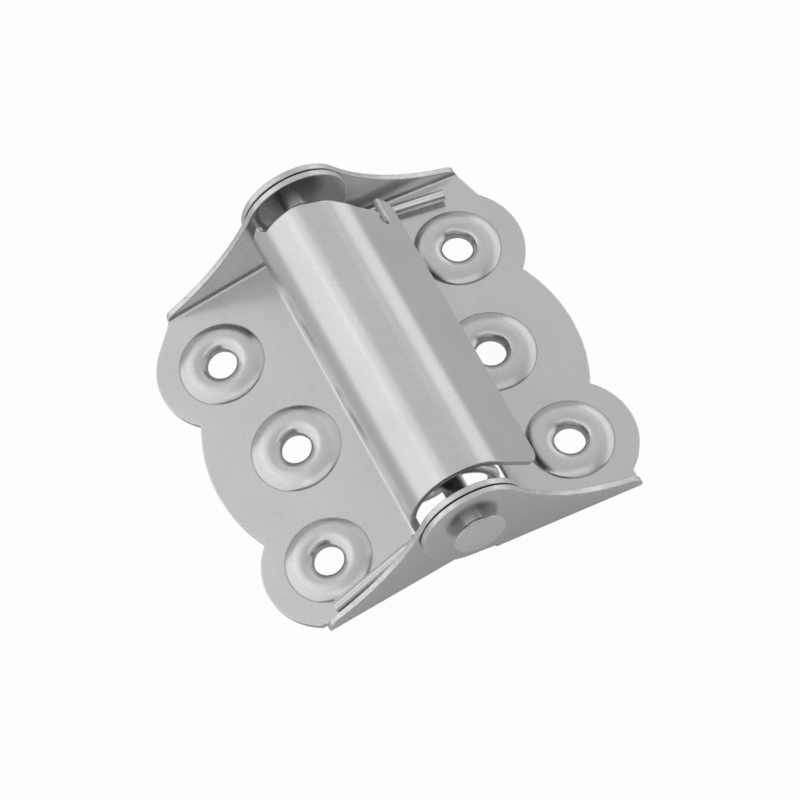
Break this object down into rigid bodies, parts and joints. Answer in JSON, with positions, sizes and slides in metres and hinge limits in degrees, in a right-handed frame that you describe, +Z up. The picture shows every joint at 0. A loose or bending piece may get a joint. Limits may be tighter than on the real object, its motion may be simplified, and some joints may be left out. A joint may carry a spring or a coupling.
{
  "type": "spring loaded door hinge",
  "caption": "Self-closing door hinge: two scalloped pressed steel leaves with raised screw seats turn on a riveted pin inside a rolled cover over a torsion spring.",
  "frame": {"origin": "on the surface that the scalloped edges of both leaves rest on, under the middle of the pin", "axes": "+Y along the pin, away from its round head; +X towards the plain leaf; +Z up, towards the barrel"},
  "size_m": [0.0666, 0.0724, 0.0259],
  "materials": {
    "plated_sheet": "bright zinc-plated steel sheet, lightly brushed",
    "plated_pin": "bright zinc-plated steel",
    "spring_wire": "plated spring steel wire"
  },
  "bodies": {
    "cover_side": {"cover_leaf": "plated_sheet", "hinge_pin": "plated_pin", "torsion_spring": "spring_wire"},
    "plain_side": {"plain_leaf": "plated_sheet"}
  },
  "joints": [
    {"name": "leaf_swing", "type": "hinge", "parent": "cover_side", "child": "plain_side", "pos_m": [0, 0, 0.01599], "axis": [0, -1, 0], "range_deg": [0, 180], "stiffness_Nm_per_rad": 0.6, "springref_deg": -20.05, "deforming": ["torsion_spring"]}
  ]
}
